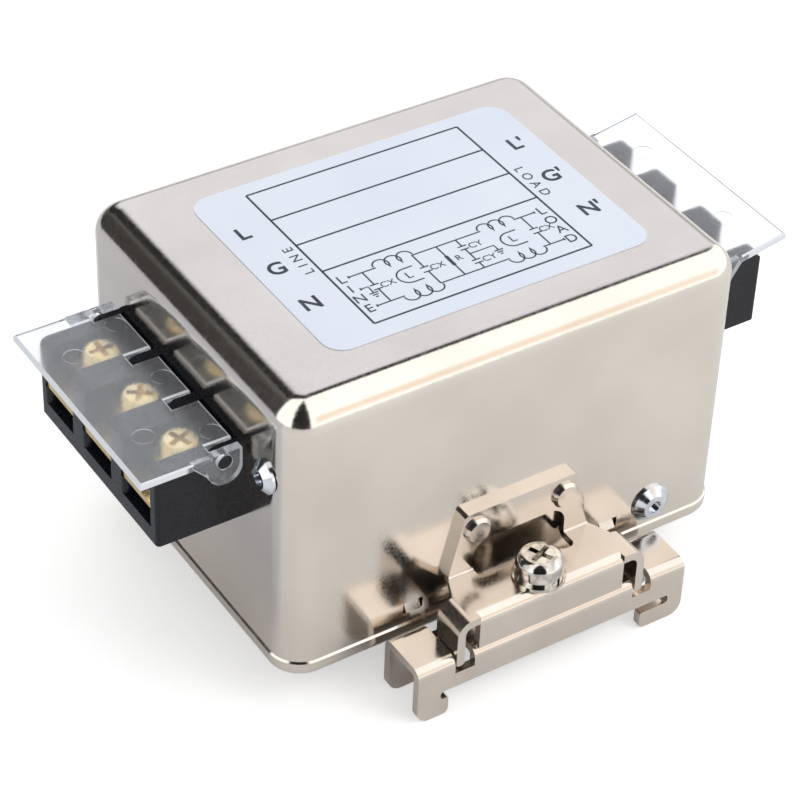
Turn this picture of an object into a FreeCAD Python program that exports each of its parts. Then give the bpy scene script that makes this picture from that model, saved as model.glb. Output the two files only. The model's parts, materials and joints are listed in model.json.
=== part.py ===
import FreeCAD, Part
import math
import os

# Two-stage mains filter in a plated steel can, with a three-way terminal block and a hinged
# clear cover at each end, and a rail bracket with a sliding rail clip on each long side.
# Frame: X along the can, line terminals at -X, Y across, Z up. The part stands on the hook
# tips of its rail clips at Z = 0, and the origin is under the middle of the can. Millimetres.

V = FreeCAD.Vector
X_AXIS = V(1, 0, 0)
Y_AXIS = V(0, 1, 0)
Z_AXIS = V(0, 0, 1)
ORIGIN = V(0, 0, 0)

# General clearances
fit_gap = 0.05
loose_gap = 0.2
hinge_gap = 0.06
cut_over = 1.0

# Can
can_length = 68.6
can_width = 53.0
can_height = 43.3
can_sheet = 0.8
can_corner_radius = 4.4
can_top_radius = 3.9
can_bottom = 6.2
bead_swell = 0.25
bead_height = 2.4
bead_radius = 1.1
curl_reach = 2.6
slot_spacing = 31.0
slot_width = 3.0
slot_height = 1.7
slot_rise = 4.1

# Base plate
base_sheet = 1.0
base_flange_height = 6.0
base_bend_radius = 1.6
base_flange_setback = 1.2
base_ear_width = 8.0
base_ear_reach = 4.0
base_rivet_inset = 11.8
base_rivet_rise = 5.9
catch_width = 2.2
catch_sheet = 0.55
catch_lean = 1.15
catch_root = 0.4

# Label
label_length = 48.8
label_width = 37.0
label_corner = 3.0
label_sheet = 0.15
label_shift_x = 1.2
label_shift_y = 0.3

# Terminal blocks
pole_count = 3
pole_pitch = 10.35
block_width = 31.4
block_depth = 12.4
block_rise = 20.7
block_height = 11.2
block_corner = 0.6
block_nose = 1.4
pocket_width = 5.9
pocket_wall = 2.1
pocket_mouth_radius = 1.0
lip_height = 2.3
plate_rise = 5.0
rim_thickness = 0.5
rim_height = 1.1
lug_radius = 1.15
lug_root = 2.0
side_lug = 1.0
hinge_pin_radius = 1.0
hinge_pin_length = 1.3
hinge_setback = 3.45
spigot_width = 28.4
spigot_height = 9.2
spigot_rise = 1.3
spigot_depth = 4.2
spigot_groove = 0.8

# Covers
cover_sheet = 1.0
cover_edge = 0.22
cover_gap = 0.3
cover_overhang_x = 2.8
cover_ear = 1.25
cover_ear_gap = 0.15
tab_rear = 2.3
cover_axis_drop = 0.5
notch_setback = 1.45
notch_width = 2.15
ear_half_width = 2.4
ear_drop = 1.0
ear_web = 2.0
ear_root = 0.1
ear_round = 0.98
mark_radius = 1.45
mark_depth = 0.12
mark_rear = 0.6
mark_front = 7.05
mark_front_spacing = 18.4
mark_rear_spacing = 25.0
load_cover_angle = 10.5

# Terminal plates, screws and clamp washers
plate_sheet = 0.8
plate_width = 7.6
plate_setback = 0.2
tail_width = 3.9
tail_reach = 6.4
terminal_screw_setback = 6.3
terminal_wire_gap = 1.5
terminal_thread_radius = 1.6
terminal_head_radius = 2.7
terminal_head_height = 2.4
terminal_dome = 0.9
terminal_screw_length = 5.0
terminal_recess_span = 3.4
terminal_recess_width = 0.8
terminal_recess_depth = 1.2
terminal_recess_turn = 20.0
terminal_recess_step = 35.0
screw_point_length = 0.6
screw_point_inset = 0.4
clamp_washer_length = 6.2
clamp_washer_width = 5.4
clamp_washer_sheet = 1.0
clamp_washer_clip = 0.8

# Retaining forks behind the end walls
fork_sheet = 1.0
fork_side_gap = 2.5
fork_top = 5.0
fork_arm_drop = 2.1
fork_corner = 2.0
block_rivet_margin = 3.0
block_rivet_offset = 4.7

# Rivets
blind_rivet_head = 2.9
blind_rivet_height = 1.2
blind_rivet_shank = 1.6
blind_rivet_bulb = 2.3
end_rivet_head = 2.35
bracket_rivet_head = 1.95
bracket_rivet_shank = 1.5
bracket_rivet_height = 0.75
rivet_bore = 0.95
rivet_tail = 1.6
rivet_crown = 0.6
rivet_rim = 0.3
rivet_bore_depth = 0.6
flat_rivet_crown = 0.8
flat_rivet_rim = 0.4

# Rail bracket
bracket_sheet = 1.2
shelf_height = 14.6
flange_top_width = 17.4
flange_base_width = 22.0
flange_height = 9.6
flange_corner = 0.8
crease_radius = 0.4
shelf_reach = 9.4
shelf_step = 4.3
step_corner = 0.5
leg_span = 29.4
leg_bend_radius = 2.3
leg_depth = 4.9
leg_clearance = 0.9
leg_foot_corner = 0.4
front_panel_width = 22.6
front_bend_radius = 1.5
window_width = 14.4
window_rise = 4.5
window_corner = 2.5
window_reach = 3.1
relief_width = 2.4
relief_reach = 1.0
relief_corner = 0.9
bracket_rivet_spacing = 13.72
bracket_rivet_rise = 6.7
screw_setback = 6.5
screw_x = -0.4

# Rail clip
clip_sheet = 1.2
clip_height = 9.1
clip_depth = 8.1
clip_bend_radius = 1.5
clip_slide = 0.65
clip_notch_width = 3.0
clip_notch_spacing = 28.1
clip_strip_height = 2.4
rail_width = 35.0
rail_sheet = 1.0
rail_slot_gap = 0.3
rail_side_gap = 0.15
slot_end_round = 0.4
rail_seat_height = 4.1
fixed_hook_grip = 1.25
deep_hook_grip = 4.5
fixed_hook_end = 3.5
deep_hook_end = 2.4
hook_corner = 2.0
hook_tip_radius = 0.9
hook_heel_radius = 0.3
collar_wall = 0.35
collar_height = 2.2

# Clip screw with its washers
clip_screw_radius = 1.5
clip_screw_head = 3.2
clip_screw_head_height = 2.4
clip_screw_length = 11.0
clip_screw_dome = 1.4
recess_width = 0.75
recess_span = 3.4
recess_depth = 1.3
recess_turn = 25.0
flat_washer_radius = 3.6
flat_washer_sheet = 0.5
spring_washer_radius = 3.1
spring_washer_sheet = 0.8
spring_washer_split = 0.5
spring_washer_turn = -70.0

# Circuit inside
board_end_gap = 4.3
board_side_gap = 4.0
board_sheet = 1.6
board_rise = 6.0
board_corner = 2.0
pillar_radius = 2.2
pillar_pin_radius = 1.3
pillar_inset = 3.2
pin_stub = 1.0
core_outer_radius = 10.5
core_inner_radius = 6.0
core_height = 9.0
core_rise = 1.7
choke_inset = 0.75
choke_row = -10.5
winding_angles = (90.0, 270.0)
turn_count = 9
turn_pitch_angle = 15.0
turn_wire = 1.1
divider_sheet = 1.0
divider_margin = 0.5
capacitor_count = 3
capacitor_gap = 1.5
capacitor_end_gap = 0.45
capacitor_width = 8.5
capacitor_height = 14.5
capacitor_row = 6.8
lead_radius = 0.4
lead_inset = 1.25
lead_stub = 1.2
y_capacitor_radius = 4.2
y_capacitor_width = 4.0
y_capacitor_row = 17.5
y_capacitor_spacing = 12.0
y_capacitor_lift = 0.5
resistor_radius = 1.6
resistor_length = 7.0
resistor_lead_pitch = 11.0
tail_wire_radius = 0.6
tail_wire_inset = 0.9
tail_wire_stub = 0.6

# Heights and faces worked out from the sizes above
end_x = -can_length / 2
side_y = -can_width / 2
can_top = can_bottom + can_height
block_bottom = can_bottom + block_rise
block_top = block_bottom + block_height
block_front = end_x - block_depth
plate_bottom = block_bottom + plate_rise
plate_top = plate_bottom + plate_sheet
hinge_x = end_x - hinge_setback
hinge_z = block_top + cover_gap - cover_axis_drop
cover_bottom = block_top + cover_gap
cover_top = cover_bottom + cover_sheet
cover_outer = block_front - cover_overhang_x
cover_inner_y = block_width / 2 + cover_ear_gap
cover_side_y = cover_inner_y + cover_ear
sweep_radius = math.hypot(tab_rear, cover_axis_drop + cover_sheet)
tab_half_width = (pole_pitch - notch_width) / 2
recess_half_width = tab_half_width + loose_gap + fit_gap
terminal_x = block_front + terminal_screw_setback
washer_bottom = plate_top + terminal_wire_gap
washer_top = washer_bottom + clamp_washer_sheet
fork_width = can_width - 2 * fork_side_gap
block_rivet_y = fork_width / 2 - block_rivet_margin
block_middle = block_bottom + block_height / 2
block_rivet_spots = [
    (-block_rivet_y, block_middle + block_rivet_offset),
    (block_rivet_y, block_middle - block_rivet_offset),
]
base_rivet_x = can_length / 2 - base_rivet_inset
tail_end = end_x + tail_reach
tail_wire_x = tail_end - tail_wire_inset
poles = [pole_pitch * (i - (pole_count - 1) / 2) for i in range(pole_count)]
shelf_front = side_y - shelf_reach
flange_face = side_y - bracket_sheet
shelf_bottom = shelf_height - bracket_sheet
screw_y = side_y - screw_setback
clip_rear = flange_face - loose_gap
clip_front = clip_rear - clip_depth
clip_web_bottom = clip_height - clip_sheet
rail_play = fixed_hook_grip + rail_side_gap
clip_length = fixed_hook_end + rail_width + rail_play + deep_hook_end
clip_left = clip_slide - clip_length / 2
clip_right = clip_slide + clip_length / 2
fixed_slot_x = clip_left + fixed_hook_end
deep_slot_x = clip_right - deep_hook_end
slot_bottom = rail_seat_height - rail_sheet - rail_slot_gap
notch_bottom = rail_seat_height + clip_strip_height
tap_radius = clip_screw_radius + fit_gap
collar_radius = tap_radius + collar_wall
base_top = can_bottom + can_sheet + base_sheet
board_bottom = base_top + board_rise
board_top = board_bottom + board_sheet
board_length = can_length - 2 * board_end_gap
board_width = can_width - 2 * board_side_gap
row_half = -tail_wire_x - tail_wire_radius - capacitor_end_gap
capacitor_length = (2 * row_half + capacitor_gap) / capacitor_count - capacitor_gap
capacitor_spacing = capacitor_length + capacitor_gap
lead_pitch = capacitor_length - 2 * lead_inset
choke_spacing = row_half - choke_inset
resistor_x = y_capacitor_spacing


def box(x0, x1, y0, y1, z0, z1):
    return Part.makeBox(x1 - x0, y1 - y0, z1 - z0, V(x0, y0, z0))


def rod(radius, start, axis, length):
    return Part.makeCylinder(radius, length, start, axis)


def in_xy(u, v):
    return V(u, v, 0)


def in_xz(u, v):
    return V(u, 0, v)


def in_yz(u, v):
    return V(0, u, v)


def outline(corners, plane):
    # Closed face through corners given as (u, v, radius), each corner rounded by its radius.
    count = len(corners)
    ends = []
    for i in range(count):
        before = plane(*corners[i - 1][:2])
        corner = plane(*corners[i][:2])
        after = plane(*corners[(i + 1) % count][:2])
        radius = corners[i][2]
        if radius <= 0:
            ends.append((corner, None, corner))
            continue
        back = (before - corner).normalize()
        ahead = (after - corner).normalize()
        half = math.acos(max(-1.0, min(1.0, back.dot(ahead)))) / 2
        run = radius / math.tan(half)
        inward = (back + ahead).normalize()
        middle = corner + inward * (radius / math.sin(half) - radius)
        ends.append((corner + back * run, middle, corner + ahead * run))
    edges = []
    for i in range(count):
        start, middle, end = ends[i]
        if middle is not None:
            edges.append(Part.Arc(start, middle, end).toShape())
        following = ends[(i + 1) % count][0]
        if end.distanceToPoint(following) > 1e-6:
            edges.append(Part.LineSegment(end, following).toShape())
    return Part.Face(Part.Wire(edges))


def slab(corners, plane, start, end):
    # The outline's face pushed along its normal from start to end.
    normal = {in_xy: Z_AXIS, in_xz: Y_AXIS, in_yz: X_AXIS}[plane]
    face = outline(corners, plane)
    face.translate(normal * start)
    return face.extrude(normal * (end - start))


def rounded_prism(length, width, radius, z0, z1, x=0.0, y=0.0):
    corners = [
        (x - length / 2, y - width / 2, radius),
        (x + length / 2, y - width / 2, radius),
        (x + length / 2, y + width / 2, radius),
        (x - length / 2, y + width / 2, radius),
    ]
    return slab(corners, in_xy, z0, z1)


def edges_at_height(shape, z):
    return [e for e in shape.Edges if all(abs(v.Z - z) < 1e-4 for v in e.Vertexes)]


def turned(points, base, axis):
    # Solid of revolution from (radius, height) points, standing on base along axis.
    corners = [(r, h, 0) for r, h in points]
    solid = outline(corners, in_xz).revolve(ORIGIN, Z_AXIS, 360)
    if axis.getAngle(Z_AXIS) > 1e-9:
        solid.Placement = FreeCAD.Placement(base, FreeCAD.Rotation(Z_AXIS, axis))
    else:
        solid.translate(base)
    return solid


def fuse(shapes):
    return shapes[0].fuse(shapes[1:]).removeSplitter()


def to_load_end(shape):
    return shape.mirror(ORIGIN, X_AXIS)


def to_back(shape):
    return shape.mirror(ORIGIN, Y_AXIS)


def turned_to_load_end(shape):
    copy = shape.copy()
    copy.rotate(ORIGIN, Z_AXIS, 180)
    return copy


def group(shapes):
    return Part.makeCompound(shapes)


def save(name, shape):
    shape.exportStep("parts/" + name + ".step")


# Can: drawn cup, its lower edge swelled and curled in under the base plate.
def can_shell():
    outer = rounded_prism(can_length, can_width, can_corner_radius, can_bottom, can_top)
    outer = outer.makeFillet(can_top_radius, edges_at_height(outer, can_top))
    bead = rounded_prism(
        can_length + 2 * bead_swell,
        can_width + 2 * bead_swell,
        can_corner_radius + bead_swell,
        can_bottom,
        can_bottom + bead_height,
    )
    bead = bead.makeFillet(bead_radius, edges_at_height(bead, can_bottom))
    bead = bead.makeChamfer(bead_swell, edges_at_height(bead, can_bottom + bead_height))
    # The cup's own lower edge stands inside the bead's rounded edge.
    trim = box(
        -can_length,
        can_length,
        -can_width,
        can_width,
        can_bottom - cut_over,
        can_bottom + bead_radius,
    )
    cup = outer.cut(trim)
    shell = cup.fuse(bead)
    hollow = rounded_prism(
        can_length - 2 * can_sheet,
        can_width - 2 * can_sheet,
        can_corner_radius - can_sheet,
        can_bottom + can_sheet,
        can_top - can_sheet,
    )
    hollow = hollow.makeFillet(can_top_radius - can_sheet, edges_at_height(hollow, can_top - can_sheet))
    mouth = rounded_prism(
        can_length - 2 * curl_reach,
        can_width - 2 * curl_reach,
        can_corner_radius - can_sheet,
        can_bottom - cut_over,
        can_bottom + can_sheet + cut_over,
    )
    shell = shell.cut(hollow).cut(mouth)
    return shell.cut(group(can_openings()))


def can_openings():
    cuts = []
    window = box(
        end_x - cut_over,
        end_x + can_sheet + cut_over,
        -spigot_width / 2 - loose_gap,
        spigot_width / 2 + loose_gap,
        block_bottom + spigot_rise - loose_gap,
        block_bottom + spigot_rise + spigot_height + loose_gap,
    )
    cuts += [window, to_load_end(window)]
    for y, z in block_rivet_spots:
        start = V(end_x - cut_over, y, z)
        hole = rod(blind_rivet_shank + fit_gap, start, X_AXIS, can_sheet + 2 * cut_over)
        cuts += [hole, turned_to_load_end(hole)]
    base_hole = rod(
        blind_rivet_shank + fit_gap,
        V(base_rivet_x, side_y - cut_over, can_bottom + base_rivet_rise),
        Y_AXIS,
        can_sheet + 2 * cut_over,
    )
    cuts += [base_hole, to_back(base_hole)]
    for x in (-bracket_rivet_spacing / 2, bracket_rivet_spacing / 2):
        start = V(x, side_y - cut_over, shelf_height + bracket_rivet_rise)
        hole = rod(bracket_rivet_shank + fit_gap, start, Y_AXIS, can_sheet + 2 * cut_over)
        cuts += [hole, to_back(hole)]
    for x in (-slot_spacing / 2, slot_spacing / 2):
        slot = box(
            x - slot_width / 2,
            x + slot_width / 2,
            side_y - cut_over,
            side_y + can_sheet + cut_over,
            can_bottom + slot_rise,
            can_bottom + slot_rise + slot_height,
        )
        cuts += [slot, to_back(slot)]
    return cuts


def catches(flange_face_y):
    # Catches lanced out of the base plate's flanges into the can's slots, and their windows.
    top = can_bottom + slot_rise + slot_height - fit_gap
    foot = can_bottom + slot_rise + loose_gap
    section = [
        (flange_face_y, top, 0),
        (flange_face_y - catch_lean, foot, 0),
        (flange_face_y - catch_lean + catch_sheet, foot, 0),
        (flange_face_y + catch_sheet, top, 0),
    ]
    hooks = []
    windows = []
    for x in (-slot_spacing / 2, slot_spacing / 2):
        hook = slab(section, in_yz, x - catch_width / 2, x + catch_width / 2)
        window = box(
            x - catch_width / 2 - loose_gap,
            x + catch_width / 2 + loose_gap,
            flange_face_y - cut_over,
            flange_face_y + base_sheet + fit_gap,
            foot - catch_root,
            top - catch_root,
        )
        hooks += [hook, to_back(hook)]
        windows += [window, to_back(window)]
    return hooks, windows


# Base plate: shallow tray with two turned-up flanges, each with a riveted ear and two catches.
def base_plate():
    bottom = can_bottom + can_sheet
    half = can_width / 2 - can_sheet - fit_gap
    top = bottom + base_flange_height
    inner_radius = base_bend_radius - base_sheet
    section = [
        (-half, bottom, base_bend_radius),
        (half, bottom, base_bend_radius),
        (half, top, 0),
        (half - base_sheet, top, 0),
        (half - base_sheet, bottom + base_sheet, inner_radius),
        (base_sheet - half, bottom + base_sheet, inner_radius),
        (base_sheet - half, top, 0),
        (-half, top, 0),
    ]
    reach = can_length / 2 - can_corner_radius - base_flange_setback
    tray = slab(section, in_yz, -reach, reach)
    floor = rounded_prism(
        can_length - 2 * (can_sheet + loose_gap),
        2 * (half - base_bend_radius),
        can_corner_radius - can_sheet - loose_gap,
        bottom,
        bottom + base_sheet,
    )
    ear_top = can_bottom + base_rivet_rise + base_ear_reach
    ear = slab(
        [
            (base_rivet_x - base_ear_width / 2, top - base_sheet, 0),
            (base_rivet_x + base_ear_width / 2, top - base_sheet, 0),
            (base_rivet_x + base_ear_width / 2, ear_top, base_ear_width / 4),
            (base_rivet_x - base_ear_width / 2, ear_top, base_ear_width / 4),
        ],
        in_xz,
        -half,
        base_sheet - half,
    )
    hooks, windows = catches(-half)
    plate = fuse([tray, floor, ear, to_back(ear)]).cut(group(windows))
    plate = fuse([plate] + hooks)
    start = V(base_rivet_x, side_y, can_bottom + base_rivet_rise)
    hole = rod(blind_rivet_shank + fit_gap, start, Y_AXIS, can_sheet + base_sheet + cut_over)
    cuts = [hole, to_back(hole)]
    for x, y in pillar_places():
        start = V(x, y, bottom - cut_over)
        cuts.append(rod(pillar_pin_radius + fit_gap, start, Z_AXIS, base_sheet + 2 * cut_over))
    return plate.cut(group(cuts))


def rating_label():
    return rounded_prism(
        label_length,
        label_width,
        label_corner,
        can_top,
        can_top + label_sheet,
        label_shift_x,
        label_shift_y,
    )


# Terminal block: moulded body with three open pockets, hinge lugs, pins and a rear spigot.
def terminal_block():
    half = block_width / 2
    body = slab(
        [
            (end_x, -half, 0),
            (block_front, -half, block_corner),
            (block_front, half, block_corner),
            (end_x, half, 0),
        ],
        in_xy,
        block_bottom,
        block_top,
    )
    side_view = [
        (end_x, block_bottom, 0),
        (block_front, block_bottom, 0),
        (block_front, block_top, block_nose),
        (end_x, block_top, 0),
    ]
    body = body.common(slab(side_view, in_xz, -half, half))
    rim_top = block_top + rim_height
    rim = box(end_x - rim_thickness, end_x, -half, half, block_top - rim_height, rim_top)
    spigot_bottom = block_bottom + spigot_rise
    spigot = box(
        end_x - rim_thickness,
        end_x + spigot_depth,
        -spigot_width / 2,
        spigot_width / 2,
        spigot_bottom,
        spigot_bottom + spigot_height,
    )
    block = fuse([body, rim, spigot])
    block = block.cut(group(block_cuts()))
    return block.fuse(hinge_lugs()).removeSplitter()


def block_cuts():
    cuts = []
    pocket_rear = hinge_x - cover_axis_drop + pocket_wall
    recess_front = hinge_x - lug_radius
    recess_rear = end_x - rim_thickness
    recess_bottom = hinge_z - sweep_radius - loose_gap
    above = block_top + 2 * lug_radius + cut_over
    flare = pocket_width / 2 + 2 * pocket_mouth_radius
    for y in poles:
        pocket = slab(
            [
                (block_front - cut_over, y - flare, 0),
                (block_front, y - flare, 0),
                (block_front, y - pocket_width / 2, pocket_mouth_radius),
                (pocket_rear, y - pocket_width / 2, 0),
                (pocket_rear, y + pocket_width / 2, 0),
                (block_front, y + pocket_width / 2, pocket_mouth_radius),
                (block_front, y + flare, 0),
                (block_front - cut_over, y + flare, 0),
            ],
            in_xy,
            block_bottom + lip_height,
            above,
        )
        groove = box(
            block_front - cut_over,
            pocket_rear,
            y - plate_width / 2 - fit_gap,
            y + plate_width / 2 + fit_gap,
            plate_bottom,
            plate_top + fit_gap,
        )
        recess = box(
            recess_front,
            recess_rear,
            y - recess_half_width,
            y + recess_half_width,
            recess_bottom,
            above,
        )
        tail = box(
            pocket_rear - cut_over,
            end_x + spigot_depth + cut_over,
            y - tail_width / 2 - fit_gap,
            y + tail_width / 2 + fit_gap,
            plate_bottom,
            plate_top + fit_gap,
        )
        cuts += [pocket, groove, recess, tail]
    for side in (-1, 1):
        outer = side * (spigot_width / 2 + cut_over)
        inner = side * (spigot_width / 2 - spigot_groove)
        cuts.append(
            box(
                end_x + can_sheet,
                end_x + can_sheet + fork_sheet + fit_gap,
                min(outer, inner),
                max(outer, inner),
                block_bottom,
                block_top + rim_height,
            )
        )
    return cuts


def hinge_lugs():
    # Rounded lugs between the cover's tabs, and hinge pins on the two outer ones.
    half = block_width / 2
    lugs = []
    spans = [(-half, side_lug - half), (half - side_lug, half)]
    for near, far in zip(poles, poles[1:]):
        spans.append((near + recess_half_width, far - recess_half_width))
    for y0, y1 in spans:
        barrel = rod(lug_radius, V(hinge_x, y0, hinge_z), Y_AXIS, y1 - y0)
        web = box(hinge_x, end_x, y0, y1, block_top - lug_root, hinge_z + lug_radius)
        lugs += [barrel, web]
    pin_length = hinge_pin_length + side_lug / 2
    start = V(hinge_x, half - side_lug / 2, hinge_z)
    pin = rod(hinge_pin_radius, start, Y_AXIS, pin_length)
    return lugs + [pin, to_back(pin)]


# Clear cover: flat plate with three rear tabs between the lugs and a hinge ear each side.
def terminal_cover():
    half = cover_side_y
    rear = hinge_x + tab_rear
    plate = box(cover_outer, rear, -half, half, cover_bottom, cover_top)
    notches = []
    notch_front = hinge_x - notch_setback
    gaps = [(-cover_inner_y, poles[0] - tab_half_width), (poles[-1] + tab_half_width, cover_inner_y)]
    for near, far in zip(poles, poles[1:]):
        gaps.append((near + tab_half_width, far - tab_half_width))
    for y0, y1 in gaps:
        notch = box(
            notch_front,
            rear + cut_over,
            y0,
            y1,
            cover_bottom - cut_over,
            cover_top + cut_over,
        )
        notches.append(notch)
    plate = plate.cut(group(notches))
    plate = plate.makeChamfer(cover_edge, edges_at_height(plate, cover_top))
    cuts = []
    spots = [(hinge_x + mark_rear, y) for y in (-mark_rear_spacing / 2, 0, mark_rear_spacing / 2)]
    spots += [(hinge_x - mark_front, y) for y in (-mark_front_spacing / 2, mark_front_spacing / 2)]
    for x, y in spots:
        cuts.append(rod(mark_radius, V(x, y, cover_top - mark_depth), Z_AXIS, mark_depth + cut_over))
    plate = plate.cut(group(cuts))
    ear_foot = hinge_z - ear_drop - ear_half_width
    ear = slab(
        [
            (hinge_x - ear_half_width - ear_web, cover_bottom + ear_root, 0),
            (hinge_x - ear_half_width, cover_bottom - ear_web, ear_web / 4),
            (hinge_x - ear_half_width, ear_foot, ear_half_width * ear_round),
            (hinge_x + ear_half_width, ear_foot, ear_half_width * ear_round),
            (hinge_x + ear_half_width, cover_top, 0),
            (hinge_x - ear_half_width - ear_web, cover_top, 0),
        ],
        in_xz,
        cover_inner_y,
        cover_side_y,
    )
    ear_hole = rod(
        hinge_pin_radius + hinge_gap,
        V(hinge_x, cover_inner_y - cut_over, hinge_z),
        Y_AXIS,
        cover_ear + 2 * cut_over,
    )
    ear = ear.cut(ear_hole)
    cover = fuse([plate, ear, to_back(ear)])
    return cover.cut(group([ear_hole, to_back(ear_hole)]))


def load_cover():
    # The load end's cover rests slightly ajar.
    cover = to_load_end(terminal_cover())
    cover.rotate(V(-hinge_x, 0, hinge_z), V(0, -1, 0), load_cover_angle)
    return cover


def terminal_plates():
    plates = []
    shoulder = hinge_x - cover_axis_drop + pocket_wall - fit_gap
    front = block_front + plate_setback
    for y in poles:
        pad = slab(
            [
                (front, y - plate_width / 2, 0),
                (shoulder, y - plate_width / 2, 0),
                (shoulder, y + plate_width / 2, 0),
                (front, y + plate_width / 2, 0),
            ],
            in_xy,
            plate_bottom,
            plate_top,
        )
        tail = slab(
            [
                (shoulder - plate_sheet, y - tail_width / 2, 0),
                (tail_end, y - tail_width / 2, 0),
                (tail_end, y + tail_width / 2, 0),
                (shoulder - plate_sheet, y + tail_width / 2, 0),
            ],
            in_xy,
            plate_bottom,
            plate_top,
        )
        plate = fuse([pad, tail])
        below = plate_bottom - cut_over
        through = plate_sheet + 2 * cut_over
        tap = rod(terminal_thread_radius + fit_gap, V(terminal_x, y, below), Z_AXIS, through)
        eye = rod(tail_wire_radius + fit_gap, V(tail_wire_x, y, below), Z_AXIS, through)
        plates.append(plate.cut(group([tap, eye])))
    return group(plates)


def cross_recess(x, y, top, span, width, depth, turn):
    slots = []
    for quarter in (0, 90):
        slot = box(x - span / 2, x + span / 2, y - width / 2, y + width / 2, top - depth, top + cut_over)
        slot.rotate(V(x, y, 0), Z_AXIS, turn + quarter)
        slots.append(slot)
    return slots[0].fuse(slots[1])


def pan_screw(x, y, seat, head, height, dome, shank, length):
    # Pan head screw standing along Z with its head's underside at seat.
    corners = [
        (0, seat - length, 0),
        (shank - screw_point_inset, seat - length, 0),
        (shank, seat - length + screw_point_length, 0),
        (shank, seat, 0),
        (head, seat, 0),
        (head, seat + height, dome),
        (0, seat + height, 0),
    ]
    screw = outline(corners, in_xz).revolve(ORIGIN, Z_AXIS, 360)
    screw.translate(V(x, y, 0))
    return screw


def terminal_screws():
    screws = []
    for i, y in enumerate(poles):
        screw = pan_screw(
            terminal_x,
            y,
            washer_top,
            terminal_head_radius,
            terminal_head_height,
            terminal_dome,
            terminal_thread_radius,
            terminal_screw_length,
        )
        recess = cross_recess(
            terminal_x,
            y,
            washer_top + terminal_head_height,
            terminal_recess_span,
            terminal_recess_width,
            terminal_recess_depth,
            terminal_recess_turn + terminal_recess_step * i,
        )
        screws.append(screw.cut(recess))
    return group(screws)


def clipped_corners(x, y):
    # Rectangle with its four corners cut off, about the screw at x, y.
    half_x = clamp_washer_length / 2
    half_y = clamp_washer_width / 2
    corners = []
    for a, b in ((-1, -1), (1, -1), (1, 1), (-1, 1)):
        ends = [(x + a * half_x, y + b * (half_y - clamp_washer_clip), 0)]
        ends.append((x + a * (half_x - clamp_washer_clip), y + b * half_y, 0))
        corners += ends if a == b else ends[::-1]
    return corners


def clamp_washers():
    washers = []
    for y in poles:
        washer = slab(clipped_corners(terminal_x, y), in_xy, washer_bottom, washer_top)
        start = V(terminal_x, y, washer_bottom - cut_over)
        hole = rod(terminal_thread_radius + loose_gap, start, Z_AXIS, clamp_washer_sheet + 2 * cut_over)
        washers.append(washer.cut(hole))
    return group(washers)


# Fork: sheet behind the end wall that drops into the spigot's side grooves and is riveted.
def retaining_fork():
    half = fork_width / 2
    arm = spigot_width / 2 - spigot_groove + fit_gap
    slot_top = block_bottom + spigot_rise + spigot_height + loose_gap
    top = slot_top + fork_top
    bottom = block_bottom - fork_arm_drop
    profile = [
        (-half, top, fork_corner),
        (-half, bottom, fork_corner),
        (-arm, bottom, 0),
        (-arm, slot_top, 0),
        (arm, slot_top, 0),
        (arm, bottom, 0),
        (half, bottom, fork_corner),
        (half, top, fork_corner),
    ]
    fork = slab(profile, in_yz, end_x + can_sheet, end_x + can_sheet + fork_sheet)
    can_inside = rounded_prism(
        can_length - 2 * can_sheet,
        can_width - 2 * can_sheet - 2 * fit_gap,
        can_corner_radius - can_sheet,
        bottom - cut_over,
        top + cut_over,
    )
    fork = fork.common(can_inside)
    holes = []
    for y, z in block_rivet_spots:
        start = V(end_x, y, z)
        holes.append(rod(blind_rivet_shank + fit_gap, start, X_AXIS, can_sheet + fork_sheet + cut_over))
    return fork.cut(group(holes))


def blind_rivet(head, grip):
    # Pulled rivet along +Z into the work: domed head below Z = 0, set bulb beyond the grip.
    return [
        (rivet_bore, -blind_rivet_height, 0),
        (head * rivet_crown, -blind_rivet_height, 0),
        (head, -blind_rivet_height * rivet_rim, 0),
        (head, 0, 0),
        (blind_rivet_shank, 0, 0),
        (blind_rivet_shank, grip, 0),
        (blind_rivet_bulb, grip, 0),
        (blind_rivet_shank, grip + rivet_tail, 0),
        (0, grip + rivet_tail, 0),
        (0, rivet_bore_depth - blind_rivet_height, 0),
        (rivet_bore, rivet_bore_depth - blind_rivet_height, 0),
    ]


def set_rivet(corners, base, axis):
    rivet = outline(corners, in_xz).revolve(ORIGIN, Z_AXIS, 360)
    rivet.Placement = FreeCAD.Placement(base, FreeCAD.Rotation(Z_AXIS, axis))
    return rivet


def block_rivets():
    rivets = []
    for y, z in block_rivet_spots:
        grip = can_sheet + fork_sheet
        rivet = set_rivet(blind_rivet(end_rivet_head, grip), V(end_x, y, z), X_AXIS)
        rivets += [rivet, turned_to_load_end(rivet)]
    return group(rivets)


def base_rivets():
    base = V(base_rivet_x, side_y, can_bottom + base_rivet_rise)
    grip = can_sheet + base_sheet + fit_gap
    rivet = set_rivet(blind_rivet(blind_rivet_head, grip), base, Y_AXIS)
    return group([rivet, to_back(rivet)])


def bracket_rivets():
    grip = bracket_sheet + can_sheet
    corners = [
        (0, -bracket_rivet_height, 0),
        (bracket_rivet_head * flat_rivet_crown, -bracket_rivet_height, 0),
        (bracket_rivet_head, -bracket_rivet_height * flat_rivet_rim, 0),
        (bracket_rivet_head, 0, 0),
        (bracket_rivet_shank, 0, 0),
        (bracket_rivet_shank, grip, 0),
        (bracket_rivet_head, grip, 0),
        (bracket_rivet_head * flat_rivet_crown, grip + bracket_rivet_height, 0),
        (0, grip + bracket_rivet_height, 0),
    ]
    rivets = []
    for x in (-bracket_rivet_spacing / 2, bracket_rivet_spacing / 2):
        base = V(x, flange_face, shelf_height + bracket_rivet_rise)
        rivet = set_rivet(corners, base, Y_AXIS)
        rivets += [rivet, to_back(rivet)]
    return group(rivets)


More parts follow.
